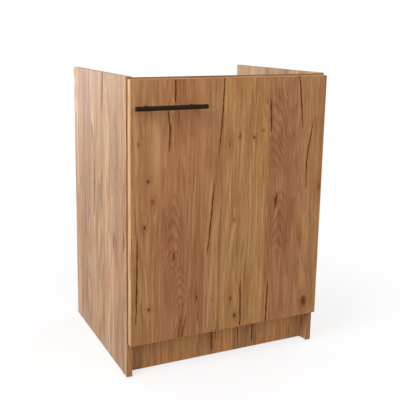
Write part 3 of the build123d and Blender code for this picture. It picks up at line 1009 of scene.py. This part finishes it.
@dataclass
class DrivenFasteners:
    """All fasteners of one node, with softened heads and a driver recess cut into each."""

    name: str
    node: bpy.types.Object
    body: str
    slot: str
    finish: Finish
    outward: Space = BACKWARD
    recess: DriverRecess = DriverRecess()
    seed: int = 7

    def facing(self, middle: Vector, size: Vector) -> Vector:
        """Direction that the head of one fastener faces, from its middle and its size."""
        return Vector(self.outward)

    def across(self, out: Vector, middle: Vector, turns: random.Random) -> Vector:
        """Direction across one head along which an arm of its recess lies."""
        return Quaternion(out, turns.uniform(0.0, math.tau)) @ out.orthogonal().normalized()

    def carve(self, cutter: bmesh.types.BMesh, frame: Matrix, radius: float) -> None:
        """Adds what is cut into one head."""
        self.recess.cut(cutter, frame, radius)

    def boxes(self, mesh: bmesh.types.BMesh) -> list[tuple[Vector, Vector]]:
        """Finds each fastener in the node's mesh.

        Args:
            mesh: mesh of all the fasteners.

        Returns:
            Middle and size of each fastener.
        """
        found: list[tuple[Vector, Vector]] = []
        seen: set[bmesh.types.BMVert] = set()
        for start in mesh.verts:
            if start in seen:
                continue
            seen.add(start)
            part = [start]
            for vert in part:
                fresh = [edge.other_vert(vert) for edge in vert.link_edges]
                fresh = [other for other in dict.fromkeys(fresh) if other not in seen]
                seen.update(fresh)
                part.extend(fresh)
            low = Vector([min(vert.co[axis] for vert in part) for axis in range(3)])
            high = Vector([max(vert.co[axis] for vert in part) for axis in range(3)])
            found.append(((low + high) / 2, high - low))
        return found

    def cutter(self, boxes: Sequence[tuple[Vector, Vector]]) -> bpy.types.Object:
        """Object with the shapes that are cut into the heads.

        Args:
            boxes: middle and size of each fastener.

        Returns:
            The cutter, which is not part of the cabinet.
        """
        shapes = bmesh.new()
        turns = random.Random(self.seed)
        for middle, size in boxes:
            out = self.facing(middle, size)
            along = abs(size.dot(out))
            radius = max(extent for extent, way in zip(size, out) if abs(way) < 0.5) / 2
            across = self.across(out, middle, turns)
            frame = Matrix((across, out.cross(across), out)).transposed().to_4x4()
            frame.translation = middle + out * along / 2
            self.carve(shapes, frame, radius)
        mesh = bpy.data.meshes.new("cutter")
        shapes.to_mesh(mesh)
        shapes.free()
        return bpy.data.objects.new("cutter", mesh)

    def build(self) -> None:
        """Makes the piece that stands for the node."""
        plain = bmesh.new()
        plain.from_mesh(self.node.data)
        bmesh.ops.remove_doubles(plain, verts=plain.verts, dist=SAME_POINT)
        boxes = self.boxes(plain)
        mesh = bpy.data.meshes.new(self.name)
        plain.to_mesh(mesh)
        plain.free()
        piece = bpy.data.objects.new(self.name, mesh)
        cutter = self.cutter(boxes)
        for part in (piece, cutter):
            bpy.context.scene.collection.objects.link(part)
        soften(piece, EDGE_WIDTH)
        carving = piece.modifiers.new("recess", "BOOLEAN")
        carving.object = cutter
        carving.solver = "EXACT"
        carved = bpy.data.meshes.new_from_object(piece.evaluated_get(bpy.context.evaluated_depsgraph_get()))
        piece.modifiers.clear()
        piece.data = carved
        carved.set_sharp_from_angle(angle=SHARP_ANGLE)
        bpy.data.objects.remove(cutter)
        self.finish.apply(piece)
        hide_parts(self.node.name)
        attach(piece, self.body)
        LOG.info("%s built: %d fasteners in %s", self.name, len(boxes), self.finish.name)


@dataclass
class CamLocks(DrivenFasteners):
    """Round cam locks: each faces the open side of its board and has an arrow that points to its bolt."""

    recess: DriverRecess = DriverRecess(span=0.9, arm=0.22, depth=0.3, floor=0.7)
    arrow: float = 0.24
    arrow_foot: float = 0.62

    def facing(self, middle: Vector, size: Vector) -> Vector:
        """Finds where one cam faces: down under the bottom, and into the cabinet on upright boards.

        Args:
            middle: middle of the cam.
            size: size of the cam.

        Returns:
            The direction.
        """
        if size.z < size.y:
            return Vector((0.0, 0.0, -1.0))
        return Vector((0.0, -math.copysign(1.0, middle.y), 0.0))

    def across(self, out: Vector, middle: Vector, turns: random.Random) -> Vector:
        """Direction from one cam to its side panel."""
        return Vector((math.copysign(1.0, middle.x), 0.0, 0.0))

    def carve(self, cutter: bmesh.types.BMesh, frame: Matrix, radius: float) -> None:
        """Adds the recess and the arrow of one cam.

        Args:
            cutter: mesh that takes the shapes.
            frame: frame on the cam, with z pointing out of it.
            radius: radius of the cam.
        """
        super().carve(cutter, frame, radius)
        tip, half = radius * (self.arrow_foot + self.arrow), radius * self.arrow / 2
        outline = [Vector((tip, 0.0, 0.0)), Vector((tip - 2 * half, half, 0.0)),
                   Vector((tip - 2 * half, -half, 0.0))]
        lift = Vector((0.0, 0.0, radius * self.arrow / 4))
        add_prism(cutter, frame, [corner - lift for corner in outline], [corner + lift for corner in outline])


@dataclass
class Assembly:
    """One sub-assembly of the cabinet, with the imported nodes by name."""

    nodes: Nodes

    def dress(self, finishes: Mapping[str, Finish]) -> None:
        """Gives nodes their finishes and reports each of them.

        Args:
            finishes: the finish of each node, by name.
        """
        for name, finish in finishes.items():
            finish.apply(self.nodes[name])
            LOG.info("%s dressed in %s", name, finish.name)


@dataclass
class Carcass(Assembly):
    """Side panels, bottom, plinth, rails, their edge bands, connectors and glides."""

    half_width: float = 0.3
    front: float = -0.209
    rear: float = 0.261
    rail_low: float = 0.6
    rail_high: float = 0.9
    left_splits: tuple[Split, ...] = (
        Split((-0.0290, 0.860), (-0.0133, 0.705), width=0.0055),
        Split((0.0559, 0.565), (0.0684, 0.390), width=0.0055),
        Split((-0.0124, 0.550), (-0.0069, 0.485), width=0.0045),
        Split((-0.1122, 0.386), (-0.1082, 0.329), width=0.006),
        Split((-0.1905, 0.405), (-0.1885, 0.355), width=0.006))
    left_flames: tuple[FlameMark, ...] = (
        FlameMark((-0.125, 0.600), (0.05, 0.14), 3.0),
        FlameMark((0.140, 0.700), (0.05, 0.10), -3.0))
    right_splits: tuple[Split, ...] = (
        Split((-0.128, 0.700), (-0.118, 0.520), 0.003),
        Split((0.146, 0.620), (0.152, 0.400), -0.003),
        Split((0.040, 0.340), (0.033, 0.120)),
        Split((-0.170, 0.300), (-0.168, 0.140)),
        Split((0.094, 0.740), (0.099, 0.660)),
        Split((-0.052, 0.460), (-0.056, 0.360)))
    right_knots: tuple[KnotMark, ...] = (
        KnotMark((0.108, 0.500), (0.006, 0.009)),
        KnotMark((-0.147, 0.415), (0.005, 0.011)),
        KnotMark((0.012, 0.615), (0.004, 0.008)),
        KnotMark((-0.016, 0.220), (0.006, 0.013)),
        KnotMark((0.168, 0.215), (0.004, 0.007)))
    right_flames: tuple[FlameMark, ...] = (
        FlameMark((-0.155, 0.560), (0.05, 0.16), 2.0),
        FlameMark((0.110, 0.250), (0.05, 0.15), -3.0),
        FlameMark((0.010, 0.470), (0.035, 0.12), 1.0))
    plinth_splits: tuple[Split, ...] = (
        Split((-0.0255, 0.080), (-0.0251, 0.012)),
        Split((0.1092, 0.085), (0.1093, 0.015)),
        Split((-0.2100, 0.090), (-0.2105, 0.030), width=0.0014),
        Split((-0.0732, 0.050), (-0.0720, 0.008), width=0.0016),
        Split((-0.0142, 0.085), (-0.0130, 0.045), width=0.0016),
        Split((0.0602, 0.090), (0.0616, 0.005), width=0.0022),
        Split((0.2411, 0.050), (0.2420, 0.014), width=0.0016))

    def finishes(self) -> dict[str, Finish]:
        """Makes the finish of each board and fitting.

        Returns:
            The finishes by node.
        """
        left_planks = (Plank(self.front, Tone.HONEY), Plank(-0.150, Tone.AMBER), Plank(-0.112, Tone.OAT),
                       Plank(-0.028, Tone.HONEY), Plank(0.055, Tone.OAT), Plank(0.096, Tone.AMBER),
                       Plank(0.172, Tone.HONEY), Plank(0.215, Tone.STRAW))
        inner_planks = (Plank(self.front, Tone.STRAW), Plank(-0.155, Tone.OAT), Plank(-0.112, Tone.STRAW),
                        Plank(-0.062, Tone.CHESTNUT), Plank(-0.024, Tone.OAT), Plank(0.036, Tone.HONEY),
                        Plank(0.08, Tone.OAT), Plank(0.132, Tone.STRAW), Plank(0.177, Tone.OAT),
                        Plank(0.222, Tone.STRAW))
        plinth_planks = (Plank(-self.half_width, Tone.UMBER), Plank(-0.243, Tone.HONEY),
                         Plank(-0.2, Tone.CEDAR), Plank(-0.07, Tone.HONEY), Plank(-0.014, Tone.CEDAR),
                         Plank(0.044, Tone.AMBER), Plank(0.126, Tone.CEDAR), Plank(0.24, Tone.HONEY))
        rail_planks = (Plank(self.rail_low, Tone.AMBER), Plank(0.75, Tone.HONEY))
        left = Laminate("left_side_laminate", Board.UPRIGHT_SIDE, left_planks, self.rear, 11.0,
                        self.left_splits, flames=self.left_flames, seam=0.008, sheen=0.85, figure=1.9)
        right = Laminate("right_side_laminate", Board.UPRIGHT_SIDE, inner_planks, self.rear, 23.0,
                         self.right_splits, self.right_knots, self.right_flames, seam=0.003, sheen=0.9,
                         figure=1.4)
        floor = Laminate("bottom_laminate", Board.LYING, inner_planks, self.rear, 31.0)
        plinth = Laminate("plinth_laminate", Board.UPRIGHT_FRONT, plinth_planks, self.half_width, 37.0,
                          self.plinth_splits)
        rails = Laminate("rail_laminate", Board.LENGTHWISE, rail_planks, self.rail_high, 41.0)
        upright_band = Laminate.band("upright_band", Board.UPRIGHT_FRONT, Tone.UMBER, 43.0)
        # Painted shade: the bands on the rail's top and on the bottom's front edge are printed dark brown for
        # the shade in the gaps behind the door.
        painted_shade_band = Laminate.band("painted_shade_band", Board.LYING, Tone.SHADE_BROWN, 47.0)
        return {"left_side_panel": left, "right_side_panel": right, "bottom_panel": floor,
                "plinth_board": plinth, "front_top_rail": rails, "rear_rail": rails,
                "left_front_band": upright_band, "right_front_band": upright_band,
                "bottom_front_band": painted_shade_band, "rail_top_band": painted_shade_band,
                "cam_bolts": SCREW_STEEL, "wood_dowels": DOWEL_BEECH, "glides": GLIDE_PLASTIC}

    def build(self) -> None:
        """Dresses each piece of the carcass and makes its cam locks."""
        self.dress(self.finishes())
        CamLocks("cam_lock_faces", self.nodes["cam_locks"], "carcass", "zinc", CAST_ZINC).build()


@dataclass
class Hinges(Assembly):
    """Concealed cup hinges: plates, arms, links, cups, pins and screws."""

    plated: tuple[str, ...] = ("hinge_plate_top", "hinge_plate_bottom", "hinge_arm_top", "hinge_arm_bottom",
                               "hinge_outer_link_top", "hinge_outer_link_bottom", "hinge_inner_link_top",
                               "hinge_inner_link_bottom", "hinge_cup_top", "hinge_cup_bottom")
    bare: tuple[str, ...] = ("hinge_arm_pins", "hinge_cup_pins")

    def screws(self) -> list[DrivenFasteners]:
        """Lists the screws in the plates, arms and cups.

        Returns:
            The screws of each node, ready to build.
        """
        rows = (("plate_screws", "hinge_plate_screws", "carcass", INWARD, 3),
                ("arm_screws", "hinge_arm_screws", "carcass", INWARD, 5),
                ("cup_screws", "hinge_cup_screws", "door", BACKWARD, 9))
        return [DrivenFasteners(name, self.nodes[node], body, "steel", SCREW_STEEL, outward, seed=seed)
                for name, node, body, outward, seed in rows]

    def build(self) -> None:
        """Dresses each piece of the hinges, rounds its edges and makes the screws."""
        finishes = dict.fromkeys(self.plated, HINGE_NICKEL) | dict.fromkeys(self.bare, SCREW_STEEL)
        self.dress(finishes)
        for name in finishes:
            soften(self.nodes[name], EDGE_WIDTH)
        for screws in self.screws():
            screws.build()


@dataclass
class Door(Assembly):
    """Door panel, its edge bands and buffers."""

    half_width: float = 0.297
    splits: tuple[Split, ...] = (
        Split((-0.1722, 0.835), (-0.1715, 0.749)),
        Split((-0.193, 0.732), (-0.190, 0.620), 0.005),
        Split((-0.0306, 0.850), (-0.044, 0.599), 0.004, 0.0034),
        Split((-0.055, 0.541), (-0.073, 0.324), 0.0016),
        Split((-0.277, 0.400), (-0.281, 0.155)),
        Split((0.2015, 0.840), (0.222, 0.664), 0.001),
        Split((0.261, 0.692), (0.243, 0.487), -0.008),
        Split((0.114, 0.755), (0.120, 0.656)),
        Split((0.035, 0.240), (0.0385, 0.080)),
        Split((0.126, 0.227), (0.1225, 0.080)),
        Split((-0.0965, 0.200), (-0.0980, 0.130), width=0.0018),
        Split((-0.1316, 0.171), (-0.150, 0.085), width=0.0024),
        Split((-0.1475, 0.165), (-0.1605, 0.090), width=0.0016),
        Split((-0.1385, 0.215), (-0.1560, 0.120), width=0.0012),
        Split((0.147, 0.487), (0.1415, 0.440)))
    knots: tuple[KnotMark, ...] = (
        KnotMark((-0.247, 0.5495), (0.006, 0.008)),
        KnotMark((0.065, 0.6476), (0.006, 0.007)),
        KnotMark((-0.1725, 0.3375), (0.005, 0.014)),
        KnotMark((-0.256, 0.427), (0.005, 0.010)),
        KnotMark((-0.244, 0.198), (0.006, 0.008)),
        KnotMark((0.1425, 0.464), (0.007, 0.012)),
        KnotMark((0.253, 0.1435), (0.014, 0.022)),
        KnotMark((0.019, 0.137), (0.006, 0.010)),
        KnotMark((0.0053, 0.1897), (0.003, 0.010)),
        KnotMark((0.009, 0.4197), (0.003, 0.006)),
        KnotMark((-0.1014, 0.2104), (0.004, 0.012)),
        KnotMark((0.0204, 0.6513), (0.003, 0.009)),
        KnotMark((-0.2736, 0.6481), (0.003, 0.008)),
        KnotMark((0.0953, 0.6656), (0.003, 0.005)))
    flames: tuple[FlameMark, ...] = (
        FlameMark((0.158, 0.665), (0.062, 0.15), 5.0),
        FlameMark((0.165, 0.400), (0.055, 0.12), 3.0),
        FlameMark((-0.175, 0.400), (0.045, 0.14)),
        FlameMark((-0.165, 0.250), (0.04, 0.09), -4.0))

    def finishes(self) -> dict[str, Finish]:
        """Makes the finish of each piece.

        Returns:
            The finishes by node.
        """
        planks = (Plank(-self.half_width, Tone.AMBER), Plank(-0.212, Tone.CHESTNUT),
                  Plank(-0.139, Tone.RUSSET), Plank(-0.082, Tone.AMBER), Plank(-0.029, Tone.HONEY),
                  Plank(0.109, Tone.CHESTNUT), Plank(0.214, Tone.AMBER))
        panel = Laminate("door_front_laminate", Board.UPRIGHT_FRONT, planks, self.half_width, 53.0,
                         self.splits, self.knots, self.flames)
        # Partly a painted highlight: the door's side bands are printed in the lightest tone, brighter than
        # their own colour, so the left edge looks lit.
        side_band_painted_highlight = Laminate.band("door_side_band", Board.UPRIGHT_SIDE, Tone.WHEAT, 59.0)
        end_band = Laminate.band("door_end_band", Board.LYING, Tone.HONEY, 61.0)
        return {"door_panel": panel, "door_left_band": side_band_painted_highlight, "door_right_band": side_band_painted_highlight,
                "door_top_band": end_band, "door_bottom_band": end_band, "door_buffers": BUFFER_RUBBER}

    def build(self) -> None:
        """Dresses each piece of the door."""
        self.dress(self.finishes())


@dataclass
class BarHandle(Assembly):
    """Black bar handle with its posts and screws."""

    coated: tuple[str, ...] = ("handle_bar", "handle_post_left", "handle_post_right")

    def build(self) -> None:
        """Dresses each piece of the handle and makes its screws."""
        self.dress(dict.fromkeys(self.coated, HANDLE_BLACK))
        DrivenFasteners("handle_bolts", self.nodes["handle_screws"], "door", "steel", SCREW_STEEL).build()


@dataclass(frozen=True)
class SoftLamp:
    """One rectangular soft lamp: where it stands, what it faces, its size and its power."""

    name: str
    place: Space
    target: Space
    size: Place
    watts: float

    def build(self) -> None:
        """Adds the lamp to the scene."""
        data = bpy.data.lights.new(self.name, "AREA")
        data.shape = "RECTANGLE"
        data.size, data.size_y = self.size
        data.energy = self.watts
        lamp = bpy.data.objects.new(self.name, data)
        lamp.location = self.place
        lamp.rotation_euler = (Vector(self.target) - Vector(self.place)).to_track_quat("-Z", "Y").to_euler()
        bpy.context.scene.collection.objects.link(lamp)
        LOG.info("%s set at %s", self.name, self.place)


@dataclass
class Studio:
    """Pale floor, white surroundings, soft lamps and the camera."""

    ambient: float = 0.36
    floor_half: float = 6.0
    floor_dim: Colour = (0.5, 0.5, 0.5, 1.0)
    floor_pale: Colour = (0.95, 0.95, 0.95, 1.0)
    glow_reach: Place = (0.4, 1.2)
    glow_share: Place = (0.74, 1.0)
    lamps: tuple[SoftLamp, ...] = (
        SoftLamp("left_lamp", (-2.0, -1.0, 2.0), (-0.2, 0.0, 0.6), (1.4, 1.4), 57.0),
        SoftLamp("rear_left_lamp", (-2.0, 3.2, 1.25), (-0.3, 0.0, 0.5), (3.0, 2.4), 44.0),
        SoftLamp("front_lamp", (0.4, -2.6, 1.5), (0.0, -0.2, 0.6), (3.2, 2.4), 27.0),
        SoftLamp("right_lamp", (2.4, 0.6, 1.6), (0.3, 0.0, 0.4), (2.0, 2.0), 28.0))
    camera_place: Space = (-0.8771, -1.7816, 0.9303)
    yaw: float = 23.818
    pitch: float = -11.102
    roll: float = 0.492
    lens: float = 60.043
    sensor: float = 36.0
    shift: Place = (0.0800, -0.0950)
    sight: float = 50.0

    def seen_directly(self, shader: Shader) -> Wire:
        """Finds the rays that show the background: from the camera, a mirror or glass.

        Args:
            shader: builder for the tree that asks.

        Returns:
            The mask of those rays.
        """
        path = shader.outputs("ShaderNodeLightPath", {})
        mirrored = shader.most(path["Is Glossy Ray"], path["Is Transmission Ray"])
        return shader.most(path["Is Camera Ray"], mirrored)

    def build_world(self) -> None:
        """White where it is seen, and a plain soft light elsewhere."""
        world = bpy.data.worlds.new("white_room")
        world.use_nodes = True
        shader = Shader(world.node_tree)
        strength = shader.window(self.seen_directly(shader), 0.0, 1.0, self.ambient, 1.0)
        shader.fill(world.node_tree.nodes["Background"], {"Color": WHITE, "Strength": strength})
        bpy.context.scene.world = world
        LOG.info("white_room set")

    def build_floor(self) -> None:
        """Pale floor that shows almost white and keeps a soft shadow."""
        mesh = bpy.data.meshes.new("studio_floor")
        half = self.floor_half
        mesh.from_pydata([(-half, -half, 0.0), (half, -half, 0.0), (half, half, 0.0), (-half, half, 0.0)], [],
                         [(0, 1, 2, 3)])
        floor = bpy.data.objects.new("studio_floor", mesh)
        bpy.context.scene.collection.objects.link(floor)
        material = bpy.data.materials.new("studio_floor")
        material.use_nodes = True
        shader = Shader(material.node_tree)
        surface = material.node_tree.nodes["Principled BSDF"]
        seen = self.seen_directly(shader)
        shader.fill(surface, {"Base Color": shader.mix(seen, self.floor_dim, self.floor_pale),
                              "Roughness": 1.0, "Specular IOR Level": 0.0})
        glow = shader.output("ShaderNodeEmission", {"Color": WHITE, "Strength": 1.0})
        place = shader.output("ShaderNodeTexCoord", {}, "Object")
        away = shader.output("ShaderNodeVectorMath", {0: place}, "Value", operation="LENGTH")
        share = seen * shader.window(away, *self.glow_reach, *self.glow_share)
        mixed = shader.output("ShaderNodeMixShader", {0: share, 1: Wire(shader, surface.outputs[0]), 2: glow})
        shader.fill(material.node_tree.nodes["Material Output"], {"Surface": mixed})
        floor.data.materials.append(material)
        LOG.info("studio_floor laid")

    def build_camera(self) -> None:
        """Camera at the photograph's viewing angle."""
        yaw, pitch, roll = (math.radians(angle) for angle in (self.yaw, self.pitch, self.roll))
        ahead = Vector((math.sin(yaw) * math.cos(pitch), math.cos(yaw) * math.cos(pitch), math.sin(pitch)))
        right = Vector((math.cos(yaw), -math.sin(yaw), 0.0))
        up = right.cross(ahead)
        rolled_right = math.cos(roll) * right + math.sin(roll) * up
        rolled_up = math.cos(roll) * up - math.sin(roll) * right
        turn = Matrix((rolled_right, rolled_up, -ahead)).transposed()
        data = bpy.data.cameras.new("photo_camera")
        data.sensor_width = self.sensor
        data.lens = self.lens
        data.shift_x, data.shift_y = self.shift
        data.clip_end = self.sight
        camera = bpy.data.objects.new("photo_camera", data)
        camera.matrix_world = Matrix.Translation(self.camera_place) @ turn.to_4x4()
        bpy.context.scene.collection.objects.link(camera)
        bpy.context.scene.camera = camera
        LOG.info("photo_camera set")

    def build(self) -> None:
        """Sets up the whole studio."""
        self.build_world()
        self.build_floor()
        for lamp in self.lamps:
            lamp.build()
        self.build_camera()
        bpy.context.scene.view_settings.view_transform = "Standard"


def main() -> None:
    """Loads the frame, dresses each sub-assembly in order and sets up the studio."""
    logging.basicConfig(level=logging.INFO, format="%(name)s: %(message)s")
    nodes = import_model()["nodes"]
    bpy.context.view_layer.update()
    for assembly in (Carcass(nodes), Hinges(nodes), Door(nodes), BarHandle(nodes)):
        assembly.build()
    Studio().build()


if __name__ == "__main__":
    main()
